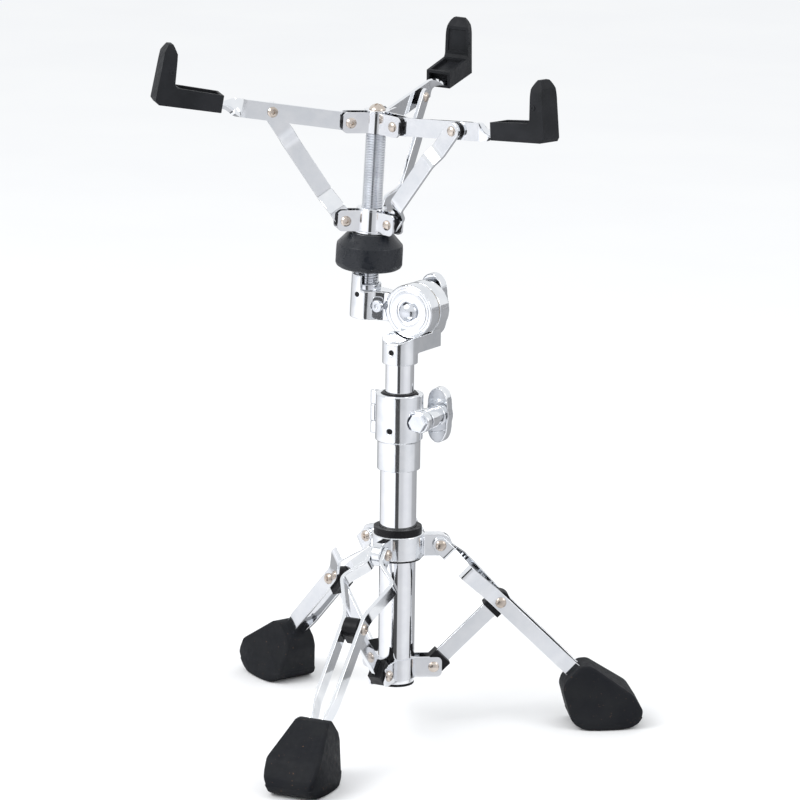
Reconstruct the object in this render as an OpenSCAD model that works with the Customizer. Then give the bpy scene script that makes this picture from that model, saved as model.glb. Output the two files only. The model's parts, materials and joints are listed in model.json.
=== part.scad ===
// Snare drum stand: double-braced folding tripod, clamped two-stage column,
// tilter and a three-arm basket closed by a knob on a threaded rod.
// Millimetres. The origin is on the floor under the column's axis, +Z is up,
// and the front leg points along -Y.

/* [Column] */
// Outside diameter of the lower tube
lower_tube_d = 28.6; // [25.6:0.1:34.4]
// Outside diameter of the sliding upper tube
upper_tube_d = 22.2; // [19:0.1:22.4]
// Wall of both tubes
tube_wall = 1.5; // [1.2:0.1:1.8]
// Height of the lower tube's bottom end above the floor
tube_bottom = 39; // [33:1:41]
// Length of the lower tube above the leg pivots
tube_above_legs = 93; // [90:1:140]
// Length of the upper tube
upper_tube_len = 232; // [180:1:235]
// Upper tube showing between the clamp and the tilter
column_gap = 23.7; // [21:0.1:60]

/* [Legs] */
// Height of the leg pivots above the floor
leg_pivot_h = 150; // [125:1:185]
// Distance of the leg pivots from the column's axis
leg_pivot_r = 33.4; // [32:0.1:40]
// Angle between a leg and the column
leg_angle = 45.8; // [40:0.1:50]
// Height of a leg strap, measured across the leg
leg_strap_w = 12.4; // [10:0.1:13]
// Thickness of the leg, strut and link straps
strap_t = 3; // [2.4:0.1:3.4]
// Widest half spread of the two straps of a leg
leg_flare = 21; // [17:0.5:24]
// Distance from the leg pivot to the strut pivot
strut_on_leg = 66.7; // [62:0.1:80]
// Diameter of the rivets in the legs
leg_rivet_d = 6; // [5:0.1:7]

/* [Struts] */
// Distance of the lower strut pivots from the column's axis
strut_pivot_r = 29.1; // [28:0.1:33]
// Height of the lower strut pivots above the floor
strut_pivot_h = 51.1; // [46:0.1:56]
// Width of a strut
strut_w = 13; // [11:0.1:14]

/* [Feet] */
// Width of a foot at the floor
foot_w = 45; // [40:1:54]
// Width of a foot where the straps enter it
foot_top_w = 25; // [20:1:30]

/* [Tilter] */
// Direction of the tilt axis, turned from the +Y axis
tilter_yaw = -9; // [-60:1:60]
// Radius of the tilter's discs
disc_r = 21; // [19:0.5:22]
// Thickness of the turning disc
disc_t = 12; // [10:0.5:13]
// Sideways distance of the rod from the tilt axis
rod_offset = 41; // [38:0.5:48]
// Lean of the rod, as stored
rod_lean = 3; // [0:0.5:6]

/* [Basket] */
// Diameter of the threaded rod
rod_d = 16; // [13:0.5:18]
// Height of the arm pivots above the tilt axis
top_h = 143; // [125:0.5:155]
// Height of the link pivots above the tilt axis
low_h = 66; // [64:0.5:71]
// Distance of the arm and link pivots from the rod's axis
basket_pivot_r = 22.1; // [20:0.1:26]
// Direction from which the arms are spaced, turned from the tilter's +X axis
basket_yaw = 110; // [80:1:140]
// Turn of the rear arm away from even spacing
rear_arm_turn = -9; // [-12:1:12]
// Slope of the arms
arm_rise = 7; // [2:0.5:12]
// Distance from an arm's pivot to its link's pivot
link_on_arm = 62; // [58:0.1:72]
// Distance from an arm's pivot to the start of its grip
arm_len = 103; // [94:1:130]
// Height of an arm strap
arm_w = 14; // [12:0.5:15]
// Diameter of the rivets in the basket
basket_rivet_d = 5.2; // [4.4:0.1:5.6]
// Outside diameter of the basket's knob
knob_d = 52; // [44:1:56]

/* [Grips] */
// Width of a grip
grip_w = 20; // [17:0.5:24]
// Length of a grip along its arm
grip_len = 52; // [46:1:60]
// Height of a grip from its sole to its top
grip_h = 47; // [40:1:56]

/* [Hidden] */
$fn = 48;

// Clearances
press_gap = 0.02;      // pieces fixed to each other
run_gap = 0.08;        // shafts and tubes that turn or slide
free_gap = 0.3;        // moving faces that stay apart
open_gap = 0.45;       // rivet shank in the leg collar's lugs
link_gap = 1.3;        // rivet shank in a link's upper hole

// Directions of the repeated pieces
leg_yaw = [-90, 30, 150];
arm_yaw = [basket_yaw + rear_arm_turn, basket_yaw + 120, basket_yaw + 240];
arm_span = [arm_yaw[1] - arm_yaw[0], arm_yaw[2] - arm_yaw[1], arm_yaw[0] + 360 - arm_yaw[2]];

// Column
lower_tube_r = lower_tube_d / 2;
upper_tube_r = upper_tube_d / 2;
lower_bore_r = lower_tube_r - tube_wall;
tube_top = leg_pivot_h + tube_above_legs;
plug_lip = 2;
plug_depth = 5;

// Clamp
clamp_overlap = 8;
clamp_ring_h = 37;
clamp_sleeve_h = 23.5;
clamp_wall = 4.3;
clamp_z = tube_top - clamp_overlap;
clamp_top = clamp_z + clamp_ring_h;
clamp_r = lower_tube_r + clamp_wall;
clamp_yaw = -5;
clamp_split = 1.2;
clamp_bolt_r = 3;
clamp_bolt_x = lower_tube_r + clamp_bolt_r + 4.2;
clamp_bolt_z = clamp_z + 17;
clamp_boss_r = 8.5;
clamp_front_lug = 7;
clamp_rear_lug = 11;
clamp_head_r = 7.5;
gate_lift = 0.8;
clamp_hinge_x = clamp_r + 3.2;
clamp_knuckle_r = 3.5;
clamp_pin_r = 1.5;
clamp_knuckle_h = [2.4, 12.2, 25.7, 36.8];
wing_gap = 1.8;
wing_nut_y = clamp_split + clamp_rear_lug + wing_gap;
wing_hub = 18;
liner_lip_h = 0.8;
set_hole_r = 2.1;

// Tilter
tilter_z = clamp_top + column_gap;
tilter_collar_r = upper_tube_r + 2.7;
tilter_seat = 14.3;
tilt_h = tilter_z + disc_r + 17.3;
block_z = 8.3;
disc_y = 11.3;
washer_t = 0.8;
ear_y = disc_y + disc_t + washer_t + 0.2;
ear_t = 13;
tilt_bolt_r = 4;
rod_setback = 14;
arm_block_h = 23;
boss_wall = 4.7;
boss_rise = 12;
lock_r = 3.2;
lock_head_r = 4.6;

// Basket
rod_r = rod_d / 2;
thread_clear = 0.12;
plate_t = 2;
ear_half_gap = 4;
bracket_h = 16;
ear_end = 6.5;
ear_corner = 4;
sleeve_r = rod_r + 2.4;
sleeve_flange_t = 1.5;
knob_bottom = 28;
knob_turn = 3;
knob_top = low_h - bracket_h / 2 - sleeve_flange_t - 0.2;
link_side = 10;
link_spacer = 2.4;
link_at_arm = strap_t + link_spacer;
link_rise = atan2(top_h + link_on_arm * sin(arm_rise) - low_h, link_on_arm * cos(arm_rise));
link_len = norm([link_on_arm * cos(arm_rise), top_h + link_on_arm * sin(arm_rise) - low_h]);
twist_len = 20;
flat_len = 36;
grip_sole = 4.4;

// Legs
leg_slope = 90 - leg_angle;
leg_pair = strap_t + 2.6;
leg_parallel = strap_t + 4.75;
leg_entry = strap_t + 2.2;
foot_mouth_h = 45;
foot_mouth = (leg_pivot_h - foot_mouth_h) / cos(leg_angle);
leg_end = foot_mouth + 32;
leg_foot_r = leg_pivot_r + leg_pivot_h * tan(leg_angle);
leg_rivet_r = leg_rivet_d / 2;
lug_r = 9;
lug_half_t = leg_pair - strap_t / 2 - free_gap;
collar_ring_r = lower_tube_r + 6.2;
collar_ring_h = 19;
collar_bush_r = lower_tube_r + 2.9;
collar_bush_gap = 0.35;
collar_lip_h = 5.4;
wing_bolt_r = 3;

// Struts
strut_top_r = leg_pivot_r + strut_on_leg * sin(leg_angle);
strut_top_h = leg_pivot_h - strut_on_leg * cos(leg_angle);
strut_rise = atan2(strut_top_h - strut_pivot_h, strut_top_r - strut_pivot_r);
strut_len = norm([strut_top_r - strut_pivot_r, strut_top_h - strut_pivot_h]);
collar_ear_gap = 5.6;
collar_ear_t = 1.7;
collar_plate_h = 16;
bush_r = 8;

// ---------------------------------------------------------------- helpers

function unit(v) = v / norm(v);
function turn_left(v) = [-v[1], v[0]];
// Point i of a path, moved sideways by d and mitred at the bend
function side_point(path, i, d) =
    let (last = len(path) - 1,
         a = i > 0 ? unit(path[i] - path[i - 1]) : unit(path[1] - path[0]),
         b = i < last ? unit(path[i + 1] - path[i]) : a,
         m = unit(turn_left(a) + turn_left(b)))
    path[i] + m * d / (m * turn_left(a));

// Flat outline of a strap that follows a path
module strap_outline(path, t)
    polygon(concat(
        [for (i = [0:len(path) - 1]) side_point(path, i, t / 2)],
        [for (i = [len(path) - 1:-1:0]) side_point(path, i, -t / 2)]));

// Strap bent along a path in XY, its height along Z
module bent_strap(path, t, h)
    linear_extrude(h, center = true) strap_outline(path, t);

// Cylinder along Y, centred on y
module cross_cylinder(r, len, y = 0)
    translate([0, y, 0]) rotate([90, 0, 0]) cylinder(r = r, h = len, center = true);

// Prism along Y with both ends rounded, for the side view of a strap
module rounded_side(from, to, h, depth) {
    cross_cylinder_at(from, h / 2, depth);
    cross_cylinder_at(to, h / 2, depth);
    translate([from, -depth / 2, -h / 2]) cube([to - from, depth, h]);
}
module cross_cylinder_at(x, r, depth) translate([x, 0, 0]) cross_cylinder(r, depth);

// Low dome on top of z = 0
module dome(r, h) {
    ball_r = (r * r + h * h) / (2 * h);
    intersection() {
        translate([0, 0, h - ball_r]) sphere(r = ball_r);
        cylinder(r = r, h = h);
    }
}

// Rivet along Y, its shank from y0 to y1 and a dome at each end
module rivet(r, y0, y1) {
    translate([0, y0, 0]) rotate([-90, 0, 0]) cylinder(r = r, h = y1 - y0);
    translate([0, y1, 0]) rotate([-90, 0, 0]) dome(r + 1.4, 2);
    translate([0, y0, 0]) rotate([90, 0, 0]) dome(r + 1.4, 2);
}

// Half of a bracket: two ears joined by an arc round a tube. The first ear
// stands beside the +X direction and the second beside the next arm.
module ear_plate(tube_r, t, gap, pivot_r, h, hole_r, span = 120) {
    start = asin((gap - 0.5) / (tube_r + t));
    difference() {
        union() {
            intersection() {
                difference() {
                    cylinder(r = tube_r + t, h = h, center = true);
                    cylinder(r = tube_r, h = h + 1, center = true);
                }
                linear_extrude(h, center = true) polygon(concat(
                    [[0, 0]], [for (a = [start, span / 2, span - start]) 3 * tube_r * [cos(a), sin(a)]]));
            }
            for (side = [0, 1]) rotate([0, 0, span * side]) mirror([0, side, 0]) ear(tube_r, t, gap, pivot_r, h);
        }
        for (side = [0, 1])
            rotate([0, 0, span * side]) mirror([0, side, 0])
                translate([pivot_r, gap + t / 2, 0]) cross_cylinder(hole_r, t + 1);
    }
}
module ear(tube_r, t, gap, pivot_r, h)
    difference() {
        union() {
            translate([0, gap, -h / 2]) cube([pivot_r + ear_end - ear_corner, t, h]);
            translate([0, gap, ear_corner - h / 2]) cube([pivot_r + ear_end, t, h - 2 * ear_corner]);
            for (z = [-1, 1]) translate([pivot_r + ear_end - ear_corner, gap + t / 2, z * (h / 2 - ear_corner)])
                cross_cylinder(ear_corner, t);
        }
        cylinder(r = tube_r + t / 2, h = h + 1, center = true);
    }

// Wing head in XY: lobes of radius tip on a hub, from z = 0 to t
module wings(hub, tip, lobes, t)
    linear_extrude(t) polygon([for (a = [0:6:354])
        (hub + (tip - hub) * pow((1 + cos(lobes * a)) / 2, 2.2)) * [cos(a), sin(a)]]);

// ----------------------------------------------------------------- frames

module radial(i) rotate([0, 0, leg_yaw[i]]) children();
module leg_frame(i)
    radial(i) translate([leg_pivot_r, 0, leg_pivot_h]) rotate([0, leg_slope, 0]) children();
module strut_frame(i)
    radial(i) translate([strut_pivot_r, 0, strut_pivot_h]) rotate([0, -strut_rise, 0]) children();
module clamp_frame() rotate([0, 0, clamp_yaw]) translate([0, 0, clamp_z]) children();
module tilter_frame() rotate([0, 0, tilter_yaw]) translate([0, 0, tilt_h]) children();
module tilted_frame() tilter_frame() rotate([0, rod_lean, 0]) children();
module rod_frame() tilted_frame() translate([-rod_offset, rod_setback, 0]) children();
module arm_plane(i) rod_frame() rotate([0, 0, arm_yaw[i]]) children();
module arm_frame(i)
    arm_plane(i) translate([basket_pivot_r, 0, top_h]) rotate([0, -arm_rise, 0]) children();
module link_frame(i)
    arm_plane(i) translate([basket_pivot_r, 0, low_h]) rotate([0, -link_rise, 0]) children();

// ----------------------------------------------------------------- column

module lower_tube() color("silver")
    translate([0, 0, tube_bottom]) difference() {
        cylinder(r = lower_tube_r, h = tube_top - tube_bottom);
        translate([0, 0, -1]) cylinder(r = lower_bore_r, h = tube_top - tube_bottom + 2);
    }

module tube_plug() color("black") {
    translate([0, 0, tube_bottom - plug_lip]) cylinder(r = lower_tube_r, h = plug_lip);
    translate([0, 0, tube_bottom]) cylinder(r = lower_bore_r - press_gap, h = plug_depth);
}

module upper_tube() color("silver")
    translate([0, 0, tilter_z + tilter_seat - upper_tube_len]) difference() {
        cylinder(r = upper_tube_r, h = upper_tube_len);
        translate([0, 0, -1]) cylinder(r = upper_tube_r - tube_wall, h = upper_tube_len + 2);
    }

module tube_glide() color("white")
    translate([0, 0, tilter_z + tilter_seat - upper_tube_len + 2]) difference() {
        cylinder(r = lower_bore_r - run_gap, h = 12);
        translate([0, 0, -1]) cylinder(r = upper_tube_r + run_gap, h = 14);
    }

// ------------------------------------------------------------------ clamp

module clamp_ring(front)
    intersection() {
        cylinder(r = clamp_r, h = clamp_ring_h);
        translate([-clamp_r, front ? -clamp_r : clamp_split, 0])
            cube([2 * clamp_r, clamp_r + (front ? 0 : -clamp_split), clamp_ring_h]);
    }

module clamp_knuckle(from, to)
    translate([-clamp_hinge_x, 0, from]) cylinder(r = clamp_knuckle_r, h = to - from);

module clamp_bridge(from, to, y0, y1)
    translate([-clamp_hinge_x, y0, from]) cube([clamp_hinge_x - lower_tube_r - 1, y1 - y0, to - from]);

module clamp_body() color("silver") clamp_frame() difference() {
    union() {
        translate([0, 0, -clamp_sleeve_h]) cylinder(r = clamp_r - 1.8, h = clamp_sleeve_h + gate_lift - free_gap);
        clamp_ring(true);
        for (k = [0, 2]) {
            clamp_knuckle(clamp_knuckle_h[k], clamp_knuckle_h[k + 1] - free_gap);
            clamp_bridge(clamp_knuckle_h[k], clamp_knuckle_h[k + 1] - free_gap, -clamp_knuckle_r, 0);
        }
        translate([clamp_bolt_x, -clamp_front_lug / 2, clamp_bolt_z - clamp_z])
            cross_cylinder(clamp_boss_r, clamp_front_lug);
    }
    translate([0, 0, -clamp_sleeve_h - 1])
        cylinder(r = lower_tube_r + press_gap, h = clamp_sleeve_h + clamp_ring_h + 2);
    translate([-clamp_hinge_x, 0, -1]) cylinder(r = clamp_pin_r + press_gap, h = clamp_ring_h + 2);
    translate([-clamp_hinge_x, 0, clamp_knuckle_h[1] - free_gap])
        cylinder(r = clamp_knuckle_r + free_gap, h = clamp_knuckle_h[2] - clamp_knuckle_h[1] + free_gap);
    translate([clamp_bolt_x, 0, clamp_bolt_z - clamp_z]) {
        cross_cylinder(clamp_bolt_r + press_gap, 40);
        cross_cylinder(clamp_head_r + free_gap, 20, -clamp_front_lug - 10);
    }
    rotate([0, 0, -85]) translate([clamp_r - 2.5, 0, 9.5]) rotate([0, 90, 0]) cylinder(r = set_hole_r, h = 6);
}

module clamp_gate() color("silver") clamp_frame() difference() {
    union() {
        translate([0, 0, gate_lift]) intersection() {
            clamp_ring(false);
            cylinder(r = clamp_r, h = clamp_ring_h - 2 * gate_lift);
        }
        clamp_knuckle(clamp_knuckle_h[1], clamp_knuckle_h[2] - free_gap);
        clamp_bridge(clamp_knuckle_h[1], clamp_knuckle_h[2] - free_gap, clamp_split, clamp_knuckle_r);
        translate([clamp_bolt_x, clamp_split + clamp_rear_lug / 2, clamp_bolt_z - clamp_z])
            cross_cylinder(clamp_boss_r, clamp_rear_lug);
    }
    translate([0, 0, -1]) cylinder(r = lower_tube_r + free_gap, h = clamp_ring_h + 2);
    for (k = [0, 2])
        translate([-clamp_hinge_x, 0, clamp_knuckle_h[k] - free_gap])
            cylinder(r = clamp_knuckle_r + free_gap,
                     h = clamp_knuckle_h[k + 1] - clamp_knuckle_h[k] + free_gap);
    translate([-clamp_hinge_x, 0, -1]) cylinder(r = clamp_pin_r + run_gap, h = clamp_ring_h + 2);
    translate([clamp_bolt_x, 0, clamp_bolt_z - clamp_z]) cross_cylinder(clamp_bolt_r + 1.6, 40);
}

module clamp_hinge_pin() color("silver") clamp_frame()
    translate([-clamp_hinge_x, 0, clamp_knuckle_h[0]])
        cylinder(r = clamp_pin_r, h = clamp_knuckle_h[3] - clamp_knuckle_h[0]);

module clamp_liner() color("black") clamp_frame() difference() {
    union() {
        translate([0, 0, clamp_overlap]) cylinder(r = lower_tube_r, h = clamp_ring_h - clamp_overlap);
        translate([0, 0, clamp_ring_h]) cylinder(r = lower_tube_r - 0.8, h = liner_lip_h);
    }
    cylinder(r = upper_tube_r + run_gap, h = clamp_ring_h + liner_lip_h + 1);
}

module clamp_bolt() color("silver") clamp_frame()
    translate([clamp_bolt_x, 0, clamp_bolt_z - clamp_z]) {
        translate([0, -clamp_front_lug, 0]) rotate([-90, 0, 0])
            cylinder(r = clamp_bolt_r, h = clamp_front_lug + wing_nut_y + wing_hub + 1);
        translate([0, -clamp_front_lug, 0]) rotate([90, 0, 0]) cylinder(r = clamp_head_r, h = 4.5, $fn = 6);
    }

module clamp_wing_nut() color("silver") clamp_frame()
    translate([clamp_bolt_x, wing_nut_y, clamp_bolt_z - clamp_z]) rotate([-90, 0, 0]) difference() {
        union() {
            cylinder(r = 7, h = wing_hub);
            translate([0, 0, wing_hub / 2 - 1]) rotate([0, 0, 90]) wings(10, 22, 2, 8);
        }
        translate([0, 0, -1]) cylinder(r = clamp_bolt_r + run_gap, h = 20);
    }

// ------------------------------------------------------------- leg collar

module leg_collar() color("silver") translate([0, 0, leg_pivot_h]) difference() {
    union() {
        translate([0, 0, -lug_r]) cylinder(r = collar_ring_r, h = collar_ring_h);
        for (i = [0:2]) radial(i) {
            translate([lower_tube_r + 4, -lug_half_t, -lug_r])
                cube([leg_pivot_r - lower_tube_r - 4, 2 * lug_half_t, 2 * lug_r]);
            translate([leg_pivot_r, 0, 0]) cross_cylinder(lug_r, 2 * lug_half_t);
        }
        translate([0, collar_ring_r - 2, 0.5]) rotate([-90, 0, 0]) cylinder(r = 7.5, h = 8);
    }
    translate([0, 0, -lug_r - 1]) cylinder(r = collar_bush_r + press_gap, h = collar_ring_h + 2);
    for (i = [0:2])
        radial(i) translate([leg_pivot_r, 0, 0]) cross_cylinder(leg_rivet_r + open_gap, 3 * lug_r);
    translate([0, lower_tube_r, 0.5]) rotate([-90, 0, 0]) cylinder(r = wing_bolt_r + run_gap, h = 20);
}

module leg_collar_bush() color("black") translate([0, 0, leg_pivot_h]) difference() {
    union() {
        translate([0, 0, -lug_r]) cylinder(r = collar_bush_r, h = collar_ring_h);
        translate([0, 0, collar_ring_h - lug_r]) cylinder(r = lower_tube_r + 4.6, h = collar_lip_h);
        translate([0, 0, -lug_r - 1.8]) cylinder(r = lower_tube_r + 4.2, h = 1.8);
    }
    translate([0, 0, -lug_r - 3]) cylinder(r = lower_tube_r + collar_bush_gap, h = 40);
    translate([0, lower_tube_r, 0.5]) rotate([-90, 0, 0]) cylinder(r = wing_bolt_r + run_gap, h = 20);
}

module collar_wing_bolt() color("silver")
    translate([0, lower_tube_r + 1, leg_pivot_h + 0.5]) rotate([-90, 0, 0]) {
        cylinder(r = wing_bolt_r, h = 13);
        translate([0, 0, 11.6]) cylinder(r = 6, h = 12);
        translate([0, 0, 15]) rotate([0, 0, 60]) wings(6, 19, 2, 5);
    }

// ------------------------------------------------------------------- legs

leg_path = [
    [-leg_strap_w, leg_pair], [10.5, leg_pair],
    [23, leg_flare - 2.2], [27.5, leg_flare], [32, leg_flare - 1.6],
    [55.5, leg_parallel + 1.2], [61, leg_parallel],
    [foot_mouth - 18, leg_parallel], [foot_mouth - 2, leg_entry], [leg_end, leg_entry]];

module leg_strap(i, side) color("silver") leg_frame(i) mirror([0, side, 0]) difference() {
    intersection() {
        bent_strap(leg_path, strap_t, leg_strap_w);
        rounded_side(0, leg_end + leg_strap_w, leg_strap_w, 3 * leg_flare);
    }
    cross_cylinder(leg_rivet_r + press_gap, 3 * leg_flare);
    translate([strut_on_leg, 0, 0]) cross_cylinder(leg_rivet_r + press_gap, 3 * leg_flare);
}

module leg_rivets(i) color("tan") leg_frame(i) {
    rivet(leg_rivet_r, -leg_pair - strap_t / 2, leg_pair + strap_t / 2);
    translate([strut_on_leg, 0, 0])
        rivet(leg_rivet_r, -leg_parallel - strap_t / 2, leg_parallel + strap_t / 2);
}

// Side view of a foot. x is measured outwards from where the leg's line
// meets the floor, y upwards.
foot_side = [[-56, 31], [-54, 38], [-42, 50.5], [-34, 51], [-1, 29],
             [8, 15], [7, 8.5], [3, 3], [-5, 0], [-38, 0], [-46, 4], [-50, 10]];

module foot(i) color("black") difference() {
    intersection() {
        radial(i) translate([leg_foot_r, 0, 0]) rotate([90, 0, 0])
            linear_extrude(foot_w, center = true) polygon(foot_side);
        leg_frame(i) linear_extrude(150, center = true) polygon([
            [foot_mouth - 12, -foot_top_w / 2], [foot_mouth - 12, foot_top_w / 2],
            [foot_mouth + 4, foot_top_w / 2 + 1.5], [foot_mouth + 34, foot_w / 2 - 2],
            [foot_mouth + 42, foot_w / 2], [foot_mouth + 56, foot_w / 2 - 1],
            [foot_mouth + 66, foot_w / 2 - 5], [foot_mouth + 90, foot_w / 2 - 14],
            [foot_mouth + 90, 14 - foot_w / 2], [foot_mouth + 66, 5 - foot_w / 2],
            [foot_mouth + 56, 1 - foot_w / 2], [foot_mouth + 42, -foot_w / 2],
            [foot_mouth + 34, 2 - foot_w / 2], [foot_mouth + 4, -foot_top_w / 2 - 1.5]]);
    }
    leg_frame(i) for (side = [-1, 1]) {
        translate([foot_mouth - 25, side * leg_entry - strap_t / 2 - 2.6 - press_gap, -leg_strap_w / 2 - press_gap])
            cube([27, strap_t + 5.2 + 2 * press_gap, leg_strap_w + 2 * press_gap]);
        translate([foot_mouth - 20, side * leg_entry - strap_t / 2 - press_gap, -leg_strap_w / 2 - press_gap])
            cube([leg_end - foot_mouth + 20, strap_t + 2 * press_gap, leg_strap_w + 2 * press_gap]);
    }
}

// ----------------------------------------------------------------- struts

module strut(i) color("silver") strut_frame(i) difference() {
    intersection() {
        translate([-strut_w, -strap_t / 2, -strut_w / 2]) cube([strut_len + 2 * strut_w, strap_t, strut_w]);
        rounded_side(0, strut_len, strut_w, 2 * strap_t);
    }
    for (x = [0, strut_len]) translate([x, 0, 0]) cross_cylinder(leg_rivet_r + run_gap, 2 * strap_t);
}

// Nylon cap over one end of a strut, the strut running towards +X
module strut_bush(half_w) difference() {
    union() {
        cross_cylinder(bush_r, 2 * half_w);
        translate([0, -half_w, -bush_r]) cube([11, 2 * half_w, 2 * bush_r]);
    }
    cross_cylinder(leg_rivet_r + run_gap, 3 * half_w);
    translate([0, -strap_t / 2 - press_gap, -strut_w / 2 - press_gap])
        cube([40, strap_t + 2 * press_gap, strut_w + 2 * press_gap]);
    cross_cylinder(strut_w / 2 + press_gap, strap_t + 2 * press_gap);
}

module strut_bushes(i) color("black") strut_frame(i) {
    strut_bush(collar_ear_gap - free_gap);
    translate([strut_len, 0, 0]) rotate([0, 180, 0]) strut_bush(leg_parallel - strap_t / 2 - free_gap);
}

module lower_collar_plates() color("silver")
    for (i = [0:2]) radial(i) translate([0, 0, strut_pivot_h])
        ear_plate(lower_tube_r + press_gap, collar_ear_t, collar_ear_gap, strut_pivot_r,
                  collar_plate_h, leg_rivet_r + press_gap);

module lower_collar_rivets() color("tan")
    for (i = [0:2]) radial(i) translate([strut_pivot_r, 0, strut_pivot_h])
        rivet(leg_rivet_r, -collar_ear_gap - collar_ear_t, collar_ear_gap + collar_ear_t);

// ----------------------------------------------------------------- tilter

module tilter_base() color("silver") tilter_frame() difference() {
    union() {
        translate([0, 0, tilter_z - tilt_h]) cylinder(r = tilter_collar_r, h = tilt_h - tilter_z);
        translate([-tilter_collar_r, 0, tilter_z - tilt_h + block_z])
            cube([2 * tilter_collar_r, ear_y + ear_t, tilt_h - tilter_z - block_z]);
        cross_cylinder(disc_r, ear_t, ear_y + ear_t / 2);
    }
    cross_cylinder(disc_r + 0.5, 60, ear_y - 30);
    translate([0, 0, tilter_z - tilt_h - 1]) cylinder(r = upper_tube_r + press_gap, h = tilter_seat + 1);
    cross_cylinder(tilt_bolt_r + run_gap, 200);
    rotate([0, 0, -88]) translate([tilter_collar_r - 1.5, 0, tilter_z - tilt_h + 10])
        rotate([0, 90, 0]) cylinder(r = set_hole_r, h = 4);
}

module tilter_arm() color("silver") tilted_frame() difference() {
    union() {
        cross_cylinder(disc_r, disc_t, disc_y + disc_t / 2);
        translate([-rod_offset, rod_setback, -arm_block_h / 2])
            cylinder(r = rod_r + boss_wall, h = arm_block_h);
        translate([0, 0, -arm_block_h / 2]) linear_extrude(arm_block_h) polygon([
            [-rod_offset, rod_setback - rod_r - boss_wall], [-disc_r - 2, disc_y + 0.6],
            [-10, disc_y + 1.5], [-10, disc_y + disc_t], [-disc_r - 1, disc_y + disc_t],
            [-rod_offset, rod_setback + rod_r + boss_wall]]);
        intersection() {
            translate([-rod_offset, rod_setback, 0]) cylinder(r = rod_r + boss_wall, h = arm_block_h / 2 + boss_rise);
            translate([-rod_offset - 40, 0, 0]) cube([42, 60, 60]);
        }
    }
    translate([-rod_offset, rod_setback, -arm_block_h / 2 + 3])
        cylinder(r = rod_r + press_gap, h = arm_block_h + boss_rise);
    translate([-rod_offset, rod_setback, arm_block_h / 2]) cylinder(r = rod_r + 3, h = 2 * boss_rise);
    cross_cylinder(tilt_bolt_r + press_gap, 200);
    rod_lock_pocket() {
        cross_cylinder(lock_r, 20);
        cross_cylinder(lock_head_r + free_gap, 10, 1 - 5);
    }
}

// Where the screw that locks the rod stands in the arm's front face
module rod_lock_pocket() translate([-disc_r - 6, disc_y - 3, 0]) children();

module rod_lock_screw() color("silver") tilted_frame() rod_lock_pocket() {
    translate([0, 1, 0]) rotate([-90, 0, 0]) cylinder(r = lock_r - press_gap, h = 8);
    difference() {
        translate([0, 1, 0]) rotate([90, 0, 0]) cylinder(r = lock_head_r, h = 3);
        translate([0, -1, 0]) rotate([90, 0, 0]) cylinder(r = 1.6, h = 2);
    }
}

module tilter_bolt() color("silver") tilted_frame() {
    translate([0, disc_y, 0]) rotate([-90, 0, 0])
        cylinder(r = tilt_bolt_r, h = ear_y + ear_t - disc_y + 17);
    translate([0, disc_y, 0]) rotate([90, 0, 0]) dome(6.8, 5.5);
}

module tilter_washer() color("goldenrod") tilted_frame()
    translate([0, disc_y + disc_t, 0]) rotate([-90, 0, 0]) difference() {
        cylinder(r = disc_r - 0.8, h = washer_t);
        translate([0, 0, -1]) cylinder(r = tilt_bolt_r + press_gap, h = 3);
    }

module tilter_wing_nut() color("silver") tilter_frame()
    translate([0, ear_y + ear_t + free_gap, 0]) rotate([-90, 0, 0]) difference() {
        union() {
            cylinder(r = 8, h = 16);
            translate([0, 0, 5]) rotate([0, 0, 90]) wings(12, 25, 2, 8);
        }
        translate([0, 0, -1]) cylinder(r = tilt_bolt_r + run_gap, h = 20);
    }

module threaded_rod() color("silver") rod_frame() {
    translate([0, 0, 3 - arm_block_h / 2])
        cylinder(r = rod_r, h = top_h + bracket_h / 2 + arm_block_h / 2 - 3);
    translate([0, 0, arm_block_h / 2]) cylinder(r = rod_r + 2.6, h = 4.5);
}

// ----------------------------------------------------------------- basket

module bracket(inner_r, h) for (i = [0:2]) arm_plane(i) translate([0, 0, h])
    ear_plate(inner_r + press_gap, plate_t, ear_half_gap, basket_pivot_r, bracket_h,
              basket_rivet_d / 2 + press_gap, arm_span[i]);

module bracket_rivets(h) for (i = [0:2]) arm_plane(i) translate([basket_pivot_r, 0, h])
    rivet(basket_rivet_d / 2, -ear_half_gap - plate_t, ear_half_gap + plate_t);

module top_bracket() color("silver") bracket(rod_r, top_h);
module top_rivets() color("tan") bracket_rivets(top_h);
module lower_bracket() color("silver") bracket(sleeve_r, low_h);
module lower_rivets() color("tan") bracket_rivets(low_h);

module top_washer() color("silver") rod_frame() translate([0, 0, top_h + bracket_h / 2]) difference() {
    cylinder(r = 9.8, h = 1.6);
    translate([0, 0, -1]) cylinder(r = 3 + press_gap, h = 4);
}

module top_screw() color("tan") rod_frame() translate([0, 0, top_h + bracket_h / 2]) {
    cylinder(r = 3, h = 1.6);
    translate([0, 0, 1.6]) difference() {
        dome(6.6, 4.6);
        for (turn = [0, 90]) rotate([0, 0, turn]) translate([-3.6, -0.8, 2.6]) cube([7.2, 1.6, 4]);
    }
}

module lower_sleeve() color("silver") rod_frame() translate([0, 0, low_h]) difference() {
    union() {
        cylinder(r = sleeve_r, h = bracket_h + 3.6, center = true);
        translate([0, 0, -bracket_h / 2 - sleeve_flange_t]) cylinder(r = rod_r + 6, h = sleeve_flange_t);
        translate([0, 0, bracket_h / 2]) cylinder(r = rod_r + 3.8, h = sleeve_flange_t);
    }
    cylinder(r = rod_r + thread_clear, h = 3 * bracket_h, center = true);
}

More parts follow.
